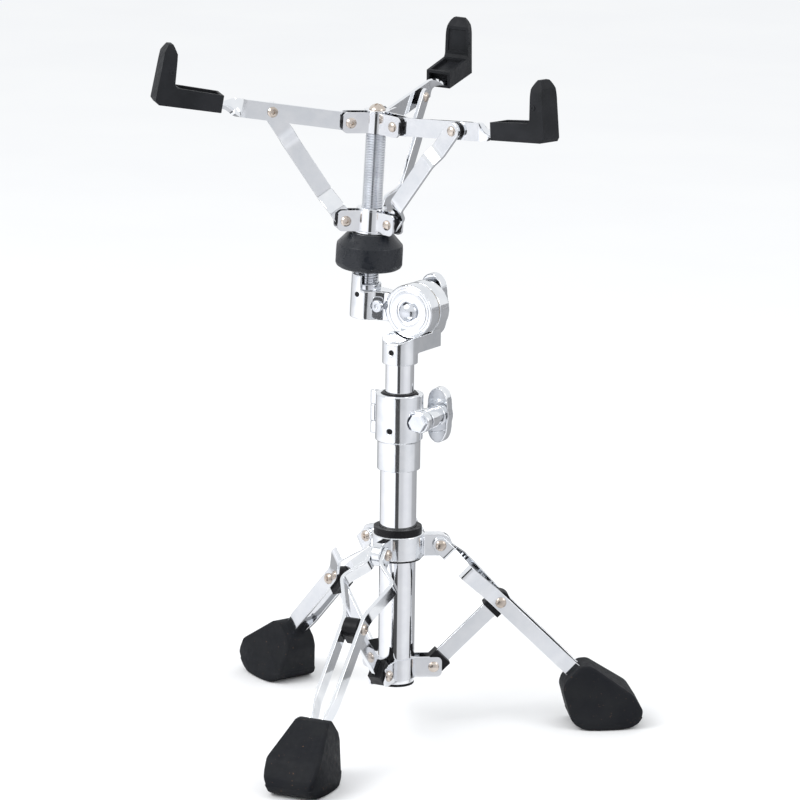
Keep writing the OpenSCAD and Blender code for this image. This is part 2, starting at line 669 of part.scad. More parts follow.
module knob() color("black") rod_frame() difference() {
    intersection() {
        translate([0, 0, knob_bottom]) rotate([0, 0, knob_turn])
            cylinder(r = knob_d / 2 / cos(30), h = knob_top - knob_bottom, $fn = 6);
        translate([0, 0, knob_bottom]) rotate([0, 0, knob_turn + 30])
            cylinder(r = (knob_d / 2 + 0.5) / cos(30), h = knob_top - knob_bottom, $fn = 6);
        translate([0, 0, knob_bottom]) rotate_extrude() polygon([
            [0, 0], [knob_d / 2 - 3, 0], [knob_d / 2 - 0.8, 1.4], [knob_d / 2 + 1, 5],
            [knob_d / 2 - 0.3, knob_top - knob_bottom - 9.5],
            [rod_r + 9, knob_top - knob_bottom], [0, knob_top - knob_bottom]]);
    }
    cylinder(r = rod_r + thread_clear, h = 3 * knob_top, center = true);
    translate([0, 0, knob_top - 2.2]) cylinder(r = rod_r + 6 + free_gap, h = 4);
}

module arm(i) color("silver") arm_frame(i) {
    difference() {
        intersection() {
            translate([-arm_w, -strap_t / 2, -arm_w / 2])
                cube([arm_len - twist_len + arm_w, strap_t, arm_w]);
            rounded_side(0, arm_len, arm_w, 2 * strap_t);
        }
        cross_cylinder(basket_rivet_d / 2 + run_gap, 3 * strap_t);
        translate([link_on_arm, 0, 0]) cross_cylinder(basket_rivet_d / 2 + press_gap, 3 * strap_t);
    }
    translate([arm_len - twist_len, 0, 0]) rotate([0, 90, 0])
        linear_extrude(twist_len, twist = -90, slices = 8, segments = 8) square([arm_w, strap_t], center = true);
    translate([arm_len - 0.4, -arm_w / 2, -strap_t / 2]) cube([flat_len + 0.4, arm_w, strap_t]);
}

module arm_rivet(i) color("tan") arm_frame(i) translate([link_on_arm, 0, 0])
    rivet(basket_rivet_d / 2, -link_at_arm - strap_t / 2, strap_t / 2);

// Side view of a grip, x outwards from its mouth and y up from its sole
grip_side = [[0, 0.8], [0.8, 0], [grip_len - 2, 0], [grip_len, 2], [grip_len - 0.5, grip_h - 6],
             [grip_len - 3, grip_h - 1], [grip_len - 6, grip_h], [grip_len - 10, grip_h - 2],
             [grip_len - 12, grip_h - 6], [grip_len - 13, 19], [grip_len - 16, 15.6],
             [grip_len - 20, 15], [0.8, 14], [0, 13.2]];

module grip(i) color("black") arm_frame(i)
    translate([arm_len + 1.2, 0, -grip_sole]) difference() {
        rotate([90, 0, 0]) linear_extrude(grip_w, center = true) polygon(grip_side);
        translate([-1, -arm_w / 2 - press_gap, grip_sole - strap_t / 2 - press_gap])
            cube([flat_len, arm_w + 2 * press_gap, strap_t + 2 * press_gap]);
    }

link_path = [
    [-arm_w, 0], [12, 0], [22, -link_side], [link_len - 32, -link_side],
    [link_len - 22, -link_at_arm], [link_len + arm_w, -link_at_arm]];

module link(i) color("silver") link_frame(i) difference() {
    intersection() {
        bent_strap(link_path, strap_t, arm_w - 0.6);
        rounded_side(0, link_len, arm_w - 0.6, 4 * link_side);
    }
    cross_cylinder(basket_rivet_d / 2 + run_gap, 3 * strap_t);
    translate([link_len, 0, 0]) cross_cylinder(basket_rivet_d / 2 + link_gap, 4 * link_side);
}

// ------------------------------------------------------------------- draw

lower_tube();
tube_plug();
lower_collar_plates();
lower_collar_rivets();
clamp_body();
clamp_liner();
clamp_hinge_pin();
clamp_bolt();
clamp_gate();
clamp_wing_nut();
leg_collar();
leg_collar_bush();
collar_wing_bolt();
leg_strap(0, 0);  // leg_strap_front_a
leg_strap(0, 1);  // leg_strap_front_b
leg_rivets(0);  // leg_rivets_front
foot(0);  // foot_front
leg_strap(1, 0);  // leg_strap_right_a
leg_strap(1, 1);  // leg_strap_right_b
leg_rivets(1);  // leg_rivets_right
foot(1);  // foot_right
leg_strap(2, 0);  // leg_strap_left_a
leg_strap(2, 1);  // leg_strap_left_b
leg_rivets(2);  // leg_rivets_left
foot(2);  // foot_left
strut(0);  // strut_front
strut(1);  // strut_right
strut(2);  // strut_left
strut_bushes(0);  // strut_bushes_front
strut_bushes(1);  // strut_bushes_right
strut_bushes(2);  // strut_bushes_left
tube_glide();
upper_tube();
tilter_base();
tilter_wing_nut();
tilter_arm();
tilter_bolt();
tilter_washer();
rod_lock_screw();
threaded_rod();
top_bracket();
top_rivets();
top_washer();
top_screw();
lower_bracket();
lower_sleeve();
lower_rivets();
knob();
arm(0);  // arm_rear
arm(1);  // arm_left
arm(2);  // arm_right
arm_rivet(0);  // arm_rivet_rear
arm_rivet(1);  // arm_rivet_left
arm_rivet(2);  // arm_rivet_right
grip(0);  // grip_rear
grip(1);  // grip_left
grip(2);  // grip_right
link(0);  // link_rear
link(1);  // link_left
link(2);  // link_right
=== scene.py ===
"""Looks of the snare drum stand: every visible piece, the finishes, the floor and the light."""

import json
import math

import bmesh
import bpy
from mathutils import Matrix, Vector


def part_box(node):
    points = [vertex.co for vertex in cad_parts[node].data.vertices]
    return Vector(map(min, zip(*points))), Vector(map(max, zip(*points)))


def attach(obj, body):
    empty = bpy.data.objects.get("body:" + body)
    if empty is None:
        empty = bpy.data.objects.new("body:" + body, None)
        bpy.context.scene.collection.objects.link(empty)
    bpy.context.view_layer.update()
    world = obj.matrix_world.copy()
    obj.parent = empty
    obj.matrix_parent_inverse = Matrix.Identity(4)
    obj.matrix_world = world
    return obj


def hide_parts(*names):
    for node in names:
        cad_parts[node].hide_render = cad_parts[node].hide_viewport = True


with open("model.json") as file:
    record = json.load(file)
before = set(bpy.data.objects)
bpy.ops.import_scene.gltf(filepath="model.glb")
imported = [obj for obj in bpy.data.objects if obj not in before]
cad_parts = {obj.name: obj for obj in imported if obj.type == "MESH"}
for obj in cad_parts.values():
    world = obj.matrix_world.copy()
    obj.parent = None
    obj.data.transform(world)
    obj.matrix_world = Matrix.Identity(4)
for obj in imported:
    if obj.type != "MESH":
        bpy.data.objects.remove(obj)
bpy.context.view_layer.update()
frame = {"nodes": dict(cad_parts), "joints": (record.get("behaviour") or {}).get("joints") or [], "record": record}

MM = 0.001
LEGS = ("front", "right", "left")
ARMS = ("rear", "left", "right")
THIRD = math.radians(120)

# Sizes in millimetres, as in the part
STRAP = 3.0
LEG_STRAP = 12.4
FOOT_WIDTH = 45.0
STRUT = 13.0
ARM_STRAP = 14.0
LINK_STRAP = 13.4
LEG_PAIR = 5.6
LEG_PARALLEL = 7.75
LEG_ENTRY = 5.2
LEG_FLARE = 21.0
FOOT_MOUTH_HEIGHT = 45.0
COLLAR_EAR = 7.3
BRACKET_EAR = 6.0
BRACKET_INSIDE = 4.0
LEG_RIVET = 3.0
BASKET_RIVET = 2.6
ARM_LENGTH = 103.0
TWIST_LENGTH = 20.0
FLAT_LENGTH = 36.0
LINK_SIDE = 10.0
LINK_AT_ARM = 5.4
ROD = 8.0
ROD_TOP = 151.0
ROD_BOTTOM = -8.5
BOSS_TOP = 11.5
THREAD_PITCH = 2.0
GRIP_SOLE = 4.4
GRIP_LENGTH = 52.0
GRIP_HEIGHT = 47.0
GRIP_WIDTH = 20.0
DISC_FRONT = 11.3
TILT_BOLT = 4.0
TILT_BOLT_END = 54.3
BOLT_DOME = 8.3
BOLT_DOME_RISE = 5.8
CLAMP_BOLT_HEIGHT = 17.0

# ---------------------------------------------------------------- places

joints = {joint["name"]: joint for joint in frame["joints"]}


def pivot(joint):
    return Vector(joints[joint]["pos_m"])


def axis(joint):
    return Vector(joints[joint]["axis"])


def place(origin, x, y):
    """Frame in millimetres, at a point, with X along one direction and Y near another."""
    x = x.normalized()
    z = x.cross(y).normalized()
    turn = Matrix((x, z.cross(x), z)).transposed().to_4x4()
    return Matrix.Translation(origin) @ turn @ Matrix.Scale(MM, 4)


def centre(node):
    low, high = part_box(node)
    return (low + high) / 2


def leg_place(i):
    """X runs down leg i from its top rivet, Y across the leg."""
    knee = f"leg_{LEGS[i]}_turn"
    top = Matrix.Rotation(i * THIRD, 3, "Z") @ pivot("leg_collar_turn")
    return place(top, pivot(knee) - top, -axis(knee))


def strut_joint(i):
    return f"strut_{LEGS[i]}_turn" if i else "leg_fold"


def strut_place(i):
    foot = pivot(strut_joint(i))
    return place(foot, pivot(f"leg_{LEGS[i]}_turn") - foot, -axis(strut_joint(i)))


UP = Vector((0, 0, 1))
rod_axis = axis("basket_lift")
tilt_axis = axis("tilt")
tilter = place(pivot("tilt"), tilt_axis.cross(UP), tilt_axis)
tilted = place(pivot("tilt"), tilt_axis.cross(rod_axis), tilt_axis)
above_tilt = (pivot("knob_turn") - pivot("tilt")).dot(rod_axis)
rod = place(pivot("knob_turn") - above_tilt * rod_axis, tilt_axis.cross(rod_axis), tilt_axis)
clamp_height = pivot("clamp_nut_turn").z - CLAMP_BOLT_HEIGHT * MM
clamp_axis = axis("clamp_nut_turn")
clamp = place(Vector((0, 0, clamp_height)), clamp_axis.cross(UP), clamp_axis)


def arm_place(name):
    """X runs out along an arm from its pivot, Y across the arm."""
    side = -axis(f"arm_{name}_turn")
    start = pivot(f"arm_{name}_turn")
    reach = centre(f"arm_rivet_{name}") - start
    return place(start, reach - reach.dot(side) * side, side)


def link_reach(name):
    """From a link's lower pivot to its rivet in the arm, within the arm's plane."""
    side = -axis(f"arm_{name}_turn")
    reach = centre(f"arm_rivet_{name}") - pivot(f"link_{name}_turn")
    return reach - reach.dot(side) * side


def link_place(name):
    return place(pivot(f"link_{name}_turn"), link_reach(name), -axis(f"arm_{name}_turn"))


def flat_place(name):
    """Where a grip's mouth meets its arm."""
    return arm_place(name) @ Matrix.Translation((ARM_LENGTH + 1.2, 0, -GRIP_SOLE))


# Turns a shape made about Z so that it lies along Y
ACROSS = Matrix.Rotation(-math.pi / 2, 4, "X")

# --------------------------------------------------------------- finishes


def nodes_of(material):
    return material.node_tree.nodes


def join(material, output, target):
    material.node_tree.links.new(output, target)


def shader_of(material):
    return nodes_of(material)["Principled BSDF"]


def finish(name, colour, roughness, metallic=0.0, **sockets):
    material = bpy.data.materials.new(name)
    material.use_nodes = True
    shader = shader_of(material)
    shader.inputs["Base Color"].default_value = (*colour, 1)
    shader.inputs["Roughness"].default_value = roughness
    shader.inputs["Metallic"].default_value = metallic
    for socket, value in sockets.items():
        shader.inputs[socket.replace("_", " ")].default_value = value
    return material


def noise(material, scale, detail=4.0, roughness=0.55):
    """Noise on object coordinates, its scale in lumps per metre."""
    place_on = nodes_of(material).new("ShaderNodeTexCoord")
    texture = nodes_of(material).new("ShaderNodeTexNoise")
    texture.inputs["Scale"].default_value = scale
    texture.inputs["Detail"].default_value = detail
    texture.inputs["Roughness"].default_value = roughness
    join(material, place_on.outputs["Object"], texture.inputs["Vector"])
    return texture.outputs["Fac"]


def ramp(material, value, start, end, low, high):
    """Value between start and end made a value between low and high."""
    spread = nodes_of(material).new("ShaderNodeMapRange")
    for socket, number in zip(("From Min", "From Max", "To Min", "To Max"), (start, end, low, high)):
        spread.inputs[socket].default_value = number
    join(material, value, spread.inputs["Value"])
    return spread.outputs["Result"]


def vary_roughness(material, value, low, high):
    join(material, ramp(material, value, 0.35, 0.65, low, high), shader_of(material).inputs["Roughness"])


def vary_colour(material, value, first, second, start=0.35, end=0.65):
    mix = nodes_of(material).new("ShaderNodeMix")
    mix.data_type = "RGBA"
    mix.inputs["A"].default_value = (*first, 1)
    mix.inputs["B"].default_value = (*second, 1)
    join(material, ramp(material, value, start, end, 0, 1), mix.inputs["Factor"])
    join(material, mix.outputs["Result"], shader_of(material).inputs["Base Color"])
    return mix


def raise_by(material, value, height, strength=1.0):
    bump = nodes_of(material).new("ShaderNodeBump")
    bump.inputs["Distance"].default_value = height * MM
    bump.inputs["Strength"].default_value = strength
    join(material, value, bump.inputs["Height"])
    join(material, bump.outputs["Normal"], shader_of(material).inputs["Normal"])


def plated(name, light, dark, smooth, hazy, waves, wave_height):
    """Bright plating: a mirror with faint haze and the waves of the metal under it."""
    material = finish(name, light, smooth, metallic=1.0)
    haze = noise(material, 90, detail=6)
    vary_roughness(material, haze, smooth, hazy)
    vary_colour(material, haze, light, dark)
    raise_by(material, noise(material, waves, detail=2), wave_height)
    return material


def moulded(name, colour, worn, roughness, grain, grain_height, shine=0.16):
    """Moulded rubber or plastic with a fine grain and slightly uneven colour."""
    material = finish(name, colour, roughness, Specular_IOR_Level=shine)
    vary_colour(material, noise(material, 60, detail=5), colour, worn)
    vary_roughness(material, noise(material, 240), roughness - 0.08, roughness + 0.08)
    raise_by(material, noise(material, grain, detail=6), grain_height)
    return material


def dusty_rubber():
    """Rubber of the feet, with brown dust caught in its pores."""
    material = moulded("foot_rubber", (0.007, 0.008, 0.011), (0.011, 0.012, 0.014), 0.62, 1500, 0.12)
    clean = shader_of(material).inputs["Base Color"].links[0].from_socket
    specks = ramp(material, noise(material, 420, detail=3, roughness=0.7), 0.66, 0.74, 0, 0.75)
    mix = nodes_of(material).new("ShaderNodeMix")
    mix.data_type = "RGBA"
    mix.inputs["B"].default_value = (0.16, 0.085, 0.05, 1)
    join(material, clean, mix.inputs["A"])
    join(material, specks, mix.inputs["Factor"])
    join(material, mix.outputs["Result"], shader_of(material).inputs["Base Color"])
    return material


FINISHES = {
    "tube": plated("tube_chrome", (0.86, 0.87, 0.89), (0.80, 0.81, 0.84), 0.03, 0.07, 14, 0.02),
    "chrome": plated("stamped_chrome", (0.84, 0.85, 0.87), (0.77, 0.78, 0.81), 0.05, 0.11, 40, 0.03),
    "strap": plated("strap_chrome", (0.85, 0.86, 0.88), (0.78, 0.80, 0.83), 0.04, 0.09, 25, 0.05),
    "casting": plated("cast_chrome", (0.84, 0.85, 0.87), (0.74, 0.76, 0.79), 0.07, 0.15, 70, 0.10),
    "bolt_steel": plated("bolt_zinc", (0.72, 0.74, 0.78), (0.60, 0.62, 0.66), 0.14, 0.26, 160, 0.05),
    "rivet": plated("rivet_nickel", (0.68, 0.61, 0.55), (0.50, 0.43, 0.37), 0.14, 0.26, 200, 0.05),
    "brass": plated("washer_brass", (0.70, 0.55, 0.32), (0.50, 0.38, 0.22), 0.25, 0.40, 180, 0.05),
    "nylon": moulded("black_nylon", (0.006, 0.006, 0.007), (0.010, 0.010, 0.012), 0.42, 900, 0.05),
    "white_nylon": moulded("white_nylon", (0.82, 0.82, 0.79), (0.74, 0.74, 0.70), 0.40, 900, 0.05),
    "knob_plastic": moulded(
        "knob_plastic", (0.010, 0.012, 0.016), (0.014, 0.016, 0.021), 0.30, 1400, 0.05, shine=0.35
    ),
    "rubber": moulded("grip_rubber", (0.010, 0.011, 0.013), (0.016, 0.017, 0.020), 0.55, 1600, 0.08),
}
FOOT_RUBBER = dusty_rubber()
# Dark finish for the set screws and the boss pin. It is their own blackened steel, and on the set screws it is
# also painted shade, standing in for the deep shade inside their holes.
BLACK_STEEL_AND_HOLE_SHADE = moulded(
    "blackened_steel_and_hole_shade", (0.008, 0.008, 0.009), (0.013, 0.013, 0.014), 0.35, 900, 0.04
)

# ----------------------------------------------------------------- makers


def piece(bm, name, slot, body, stands_for=(), material=None, crease=40):
    """Makes a mesh a piece of the stand, riding on a body in place of CAD nodes."""
    bmesh.ops.remove_doubles(bm, verts=bm.verts, dist=2e-6)
    bmesh.ops.recalc_face_normals(bm, faces=bm.faces)
    mesh = bpy.data.meshes.new(name)
    bm.to_mesh(mesh)
    bm.free()
    mesh.shade_smooth()
    mesh.set_sharp_from_angle(angle=math.radians(crease))
    mesh.materials.append(material or FINISHES[slot])
    made = bpy.data.objects.new(name, mesh)
    bpy.context.scene.collection.objects.link(made)
    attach(made, body)
    if stands_for:
        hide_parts(*stands_for)
    return made


def ease_edges(made, width, sharper_than=35, segments=3):
    """Rounds a piece's sharp edges and keeps its flats flat in reflections."""
    bevel = made.modifiers.new("edges", "BEVEL")
    bevel.width = width * MM
    bevel.segments = segments
    bevel.limit_method = "ANGLE"
    bevel.angle_limit = math.radians(sharper_than)
    made.modifiers.new("flats", "WEIGHTED_NORMAL").keep_sharp = True
    return made


def thicken(made, thickness, edge):
    solid = made.modifiers.new("thickness", "SOLIDIFY")
    solid.thickness = thickness * MM
    solid.offset = 0
    solid.use_even_offset = True
    return ease_edges(made, edge, sharper_than=50)


def all_of(bm):
    return bm.verts[:] + bm.edges[:] + bm.faces[:]


def put(bm, where):
    bmesh.ops.transform(bm, matrix=where, verts=bm.verts)
    return bm


def joined(parts):
    """One mesh from several, each freed."""
    whole = bmesh.new()
    for part in parts:
        mesh = bpy.data.meshes.new("part")
        part.to_mesh(mesh)
        part.free()
        whole.from_mesh(mesh)
        bpy.data.meshes.remove(mesh)
    return whole


def copied(node):
    """A CAD node's shape as one merged mesh."""
    bm = bmesh.new()
    bm.from_mesh(frame["nodes"][node].data)
    bmesh.ops.remove_doubles(bm, verts=bm.verts, dist=2e-6)
    bmesh.ops.dissolve_limit(bm, verts=bm.verts, edges=bm.edges, angle_limit=math.radians(1))
    return bm


def body_of(node):
    for body, members in frame["record"]["behaviour"]["bodies"].items():
        if node in members:
            return body


def slot_of(node):
    for subpart in frame["record"]["subparts"]:
        if subpart["node"] == node:
            return subpart["material_slot"]


def machined(node, edge):
    """A turned, stamped or moulded piece, as the CAD has it, with eased edges."""
    made = piece(copied(node), node + "_finished", slot_of(node), body_of(node), (node,))
    return ease_edges(made, edge)


def cast(node, grain=0.6, passes=6):
    """A casting: the CAD's shape with every edge and corner softened by the mould."""
    bm = copied(node)
    mesh = bpy.data.meshes.new("rough")
    bm.to_mesh(mesh)
    bm.free()
    rough = bpy.data.objects.new("rough", mesh)
    bpy.context.scene.collection.objects.link(rough)
    remesh = rough.modifiers.new("skin", "REMESH")
    remesh.mode = "VOXEL"
    remesh.voxel_size = grain * MM
    smooth = rough.modifiers.new("softness", "SMOOTH")
    smooth.factor = 0.5
    smooth.iterations = passes
    seen = rough.evaluated_get(bpy.context.evaluated_depsgraph_get())
    skin = bmesh.new()
    skin.from_mesh(seen.data)
    bpy.data.objects.remove(rough)
    return piece(skin, node + "_finished", slot_of(node), body_of(node), (node,), crease=60)


def eased(outline, radius, closed=True, steps=4):
    """Outline with each corner rounded, as far as the sides leave room."""
    smooth = []
    last = len(outline) - 1
    for i, corner in enumerate(outline):
        corner = Vector(corner)
        if not closed and i in (0, last):
            smooth.append(corner)
            continue
        before = Vector(outline[i - 1]) - corner
        after = Vector(outline[(i + 1) % len(outline)]) - corner
        start = corner + before * min(0.45, radius / before.length)
        end = corner + after * min(0.45, radius / after.length)
        for step in range(steps + 1):
            t = step / steps
            smooth.append(start * (1 - t) ** 2 + corner * 2 * t * (1 - t) + end * t**2)
    return smooth


def turned(profile, radius=0.0, closed=False, steps=48):
    """Body turned about Z from a profile of (radius, height) points."""
    points = eased(profile, radius, closed, 3) if radius else [Vector(p) for p in profile]
    bm = bmesh.new()
    verts = [bm.verts.new((p.x, 0, p.y)) for p in points]
    ends = verts[1:] + verts[:1] if closed else verts[1:]
    edges = [bm.edges.new(pair) for pair in zip(verts, ends)]
    bmesh.ops.spin(
        bm, geom=verts + edges, cent=(0, 0, 0), axis=(0, 0, 1), dvec=(0, 0, 0),
        angle=2 * math.pi, steps=steps, use_merge=True,
    )
    bmesh.ops.remove_doubles(bm, verts=bm.verts, dist=1e-4)
    return bm


def slab(outline, width):
    """Prism of a side outline in XZ, its width along Y."""
    bm = bmesh.new()
    face = bm.faces.new([bm.verts.new((p[0], -width / 2, p[1])) for p in outline])
    made = bmesh.ops.extrude_face_region(bm, geom=[face])
    moved = [v for v in made["geom"] if isinstance(v, bmesh.types.BMVert)]
    bmesh.ops.translate(bm, vec=(0, width, 0), verts=moved)
    bmesh.ops.recalc_face_normals(bm, faces=bm.faces)
    return bm


def cut(bm, normal, distances):
    """Adds edge loops where planes cross a mesh."""
    normal = Vector(normal).normalized()
    for distance in distances:
        bmesh.ops.bisect_plane(
            bm, geom=all_of(bm), dist=1e-4, plane_co=normal * distance, plane_no=normal
        )


def sink(bm, faces, rim, depth):
    """Pocket in some faces of a mesh, inside a rim."""
    bmesh.ops.inset_region(bm, faces=faces, thickness=rim, depth=0, use_even_offset=True)
    bmesh.ops.inset_region(bm, faces=faces, thickness=0.01, depth=-depth, use_even_offset=True)


def spaced(start, end, step):
    count = max(1, round((end - start) / step))
    return [start + (end - start) * i / count for i in range(count + 1)]


def between(points, x):
    """Height at x on a line through points."""
    for (x0, y0), (x1, y1) in zip(points, points[1:]):
        if x <= x1:
            return y0 + (y1 - y0) * max(0.0, (x - x0) / (x1 - x0))
    return points[-1][1]


def bend(points, reach):
    """Sideways place of a bent strap, each bend eased over a reach."""
    return lambda x: sum(between(points, x + reach * k / 4) for k in range(-4, 5)) / 9


def strap_blank(start, end, width, square_end=False):
    """Flat strap in XZ with rounded ends."""
    bm = bmesh.new()
    bmesh.ops.create_grid(bm, x_segments=1, y_segments=1, size=0.5)
    middle = (start + end) / 2
    size = Matrix.Diagonal((end - start, width, 1, 1))
    put(bm, Matrix.Translation((middle, 0, 0)) @ Matrix.Rotation(math.pi / 2, 4, "X") @ size)
    corners = [v for v in bm.verts if v.co.x < middle or not square_end]
    bmesh.ops.bevel(
        bm, geom=corners, offset=0.49 * width, offset_type="OFFSET", segments=9,
        profile=0.5, affect="VERTICES", clamp_overlap=True, material=-1,
    )
    return bm


# ------------------------------------------------------------------ rivets


def rivet(x, start, end, r):
    """Rivet along Y: a plain dome at its start and a rolled tail at its end."""
    head = r + 1.4
    dome = [(head * math.sin(a), start - 2 * math.cos(a)) for a in spaced(0, math.pi / 2, math.pi / 12)]
    tail = [
        (r, start), (r, end), (head, end), (head + 0.1, end + 0.7), (r + 0.5, end + 1.8),
        (0.62 * r, end + 1.5), (0.45 * r, end + 0.3), (0, end + 0.2),
    ]
    return put(turned(dome + tail, steps=32), Matrix.Translation((x, 0, 0)) @ ACROSS)


def spacer(start, end, x=0.0, outer=7.4, bore=2.7):
    profile = [(bore, start), (outer, start), (outer, end), (bore, end)]
    ring = turned(profile, radius=0.5, closed=True, steps=36)
    return put(ring, Matrix.Translation((x, 0, 0)) @ ACROSS)


# -------------------------------------------------------------------- legs


def leg_straps(i):
    """Two mirrored straps that flare round the strut, then run side by side to the foot."""
    where = leg_place(i)
    slope = where.to_3x3() @ Vector((1, 0, 0)) / MM
    mouth = (where.translation.z / MM - FOOT_MOUTH_HEIGHT) / -slope.z
    path = bend([
        (-LEG_STRAP, LEG_PAIR), (10.5, LEG_PAIR), (23, LEG_FLARE - 2.2), (27.5, LEG_FLARE + 0.4),
        (32, LEG_FLARE - 1.6), (55.5, LEG_PARALLEL + 1.2), (61, LEG_PARALLEL),
        (mouth - 18, LEG_PARALLEL), (mouth - 2, LEG_ENTRY), (mouth + 40, LEG_ENTRY),
    ], 2.4)
    for side, letter in ((1, "a"), (-1, "b")):
        bm = strap_blank(-LEG_STRAP / 2, mouth + 32, LEG_STRAP)
        cut(bm, (1, 0, 0), spaced(6, 66, 1.2) + spaced(mouth - 22, mouth + 2, 2))
        for vert in bm.verts:
            vert.co.y = side * path(vert.co.x)
        node = f"leg_strap_{LEGS[i]}_{letter}"
        made = piece(put(bm, where), node + "_bent", "strap", f"leg_{LEGS[i]}_body", (node,))
        thicken(made, STRAP, 0.55)


def leg_rivets(i):
    knee = (pivot(f"leg_{LEGS[i]}_turn") - leg_place(i).translation).length / MM
    pair = LEG_PAIR + STRAP / 2
    parallel = LEG_PARALLEL + STRAP / 2
    bm = joined([rivet(0, -pair, pair, LEG_RIVET), rivet(knee, -parallel, parallel, LEG_RIVET)])
    node = f"leg_rivets_{LEGS[i]}"
    piece(put(bm, leg_place(i)), node + "_set", "rivet", f"leg_{LEGS[i]}_body", (node,))


def strut(i):
    where = strut_place(i)
    length = (pivot(f"leg_{LEGS[i]}_turn") - where.translation).length / MM
    bm = strap_blank(-STRUT / 2, length + STRUT / 2, STRUT)
    node = f"strut_{LEGS[i]}"
    made = piece(put(bm, where), node + "_bar", "strap", node + "_body", (node,))
    thicken(made, STRAP, 0.55)


# Side view of a foot, x outwards from where the leg's line meets the floor
FOOT_SIDE = [
    (-56, 31), (-54, 38), (-42, 50.5), (-34, 51), (-1, 29), (8, 15),
    (7, 8.5), (3, 3), (-5, 0), (-38, 0), (-46, 4), (-50, 10),
]
SKIRT = 10.0


def foot(i):
    """Rubber foot: widens from the straps' mouth to a skirt with a ribbed sole."""
    leg = leg_place(i)
    down = (leg.to_3x3() @ Vector((1, 0, 0))) / MM
    out = Vector((down.x, down.y, 0)).normalized()
    length = leg.translation.z / -down.z
    origin = leg.translation + down * length
    where = place(origin, out, -axis(f"leg_{LEGS[i]}_turn"))
    tilt = Vector((down.dot(out), 0, down.z))
    reach = length / MM
    mouth = (leg.translation.z / MM - FOOT_MOUTH_HEIGHT) / -down.z
    taper = bend([
        (mouth - 12, 12.5), (mouth + 4, 14), (mouth + 34, 20.5), (mouth + 42, 22.5),
        (mouth + 56, 21.5), (mouth + 66, 17.5), (mouth + 90, 8.5),
    ], 4)
    bm = slab(FOOT_SIDE, FOOT_WIDTH)
    bmesh.ops.bevel(
        bm, geom=bm.edges[:], offset=2.6, offset_type="OFFSET", segments=4,
        profile=0.5, affect="EDGES", clamp_overlap=True, material=-1,
    )
    cut(bm, tilt, spaced(-64, 8, 4))
    cut(bm, (0, 0, 1), (SKIRT - 0.9, SKIRT, 1.2, 3.2, 5.2))
    cut(bm, (0, 1, 0), spaced(-21, 21, 3))
    for vert in bm.verts:
        vert.co.y *= 2 * taper(reach + vert.co.dot(tilt)) / FOOT_WIDTH
        if vert.co.z < SKIRT - 0.5:
            vert.co.y *= 1.025
            vert.co.x += 0.022 * (vert.co.x + 22)
        if vert.co.z < 1.3:
            vert.co.z += 0.7 * (0.5 + 0.5 * math.cos(math.pi * vert.co.y / 3.2)) * (1.3 - vert.co.z)
    node = f"foot_{LEGS[i]}"
    return piece(
        put(bm, where), node + "_rubber", "rubber", f"leg_{LEGS[i]}_body", (node,), FOOT_RUBBER, 45
    )


for i in range(3):
    leg_straps(i)
    leg_rivets(i)
    strut(i)
    foot(i)
    machined(f"strut_bushes_{LEGS[i]}", 1.4)


def collar_rivets():
    parts = []
    for i in range(3):
        bm = rivet(0, -COLLAR_EAR, COLLAR_EAR, LEG_RIVET)
        put(bm, strut_place(i))
        parts.append(bm)
    piece(joined(parts), "lower_collar_rivets_set", "rivet", "base", ("lower_collar_rivets",))


collar_rivets()
machined("lower_collar_plates", 0.35)
machined("lower_tube", 0.4)
machined("upper_tube", 0.4)
machined("tube_plug", 0.5)
machined("tube_glide", 0.4)
cast("leg_collar")
machined("leg_collar_bush", 1.7)
cast("collar_wing_bolt", 0.45, 5)

# ------------------------------------------------------------------- clamp

cast("clamp_body")
cast("clamp_gate")
cast("clamp_wing_nut", 0.45, 5)
machined("clamp_bolt", 0.5)
machined("clamp_liner", 0.5)
machined("clamp_hinge_pin", 0.3)


def set_screw(name, where, body):
    """Socket screw sunk in a radial hole, its axis along X."""
    socket = [(0, -0.7), (0.9, -0.6), (1, -0.2), (1.7, -0.2), (2, -0.5), (2, -2.4), (0, -2.4)]
    turn = Matrix.Rotation(math.pi / 2, 4, "Y")
    # Painted shade: the screw's dark finish stands in for the shade deep in its hole, so the hole reads dark.
    piece(put(turned(socket, steps=24), where @ turn), name, "bolt_steel", body, material=BLACK_STEEL_AND_HOLE_SHADE)


CLAMP_RADIUS = 18.6
COLLAR_RADIUS = 13.8
SEAT_DROP = 38.3
set_screw(
    "clamp_set_screw",
    clamp @ Matrix.Rotation(math.radians(-85), 4, "Z") @ Matrix.Translation((CLAMP_RADIUS, 0, 9.5)),
    "base",
)
set_screw(
    "tilter_set_screw",
    tilter @ Matrix.Rotation(math.radians(-88), 4, "Z")
    @ Matrix.Translation((COLLAR_RADIUS, 0, 10 - SEAT_DROP)),
    "column_body",
)

# ------------------------------------------------------------------ tilter

cast("tilter_base")
cast("tilter_arm")
cast("tilter_wing_nut", 0.45, 5)
machined("tilter_washer", 0.25)
machined("rod_lock_screw", 0.4)


def tilt_bolt():
    """Bolt on the tilt axis, with a large smooth dome for its head."""
    dome = [
        (BOLT_DOME * math.sin(a), DISC_FRONT - BOLT_DOME_RISE * math.cos(a))
        for a in spaced(0, math.pi / 2, 0.1)
    ]
    shank = [
        (TILT_BOLT, DISC_FRONT), (TILT_BOLT, TILT_BOLT_END - 0.8),
        (TILT_BOLT - 0.8, TILT_BOLT_END), (0, TILT_BOLT_END),
    ]
    bm = put(turned(dome + shank), tilted @ ACROSS)
    piece(bm, "tilter_bolt_turned", "bolt_steel", "tilter_body", ("tilter_bolt",))


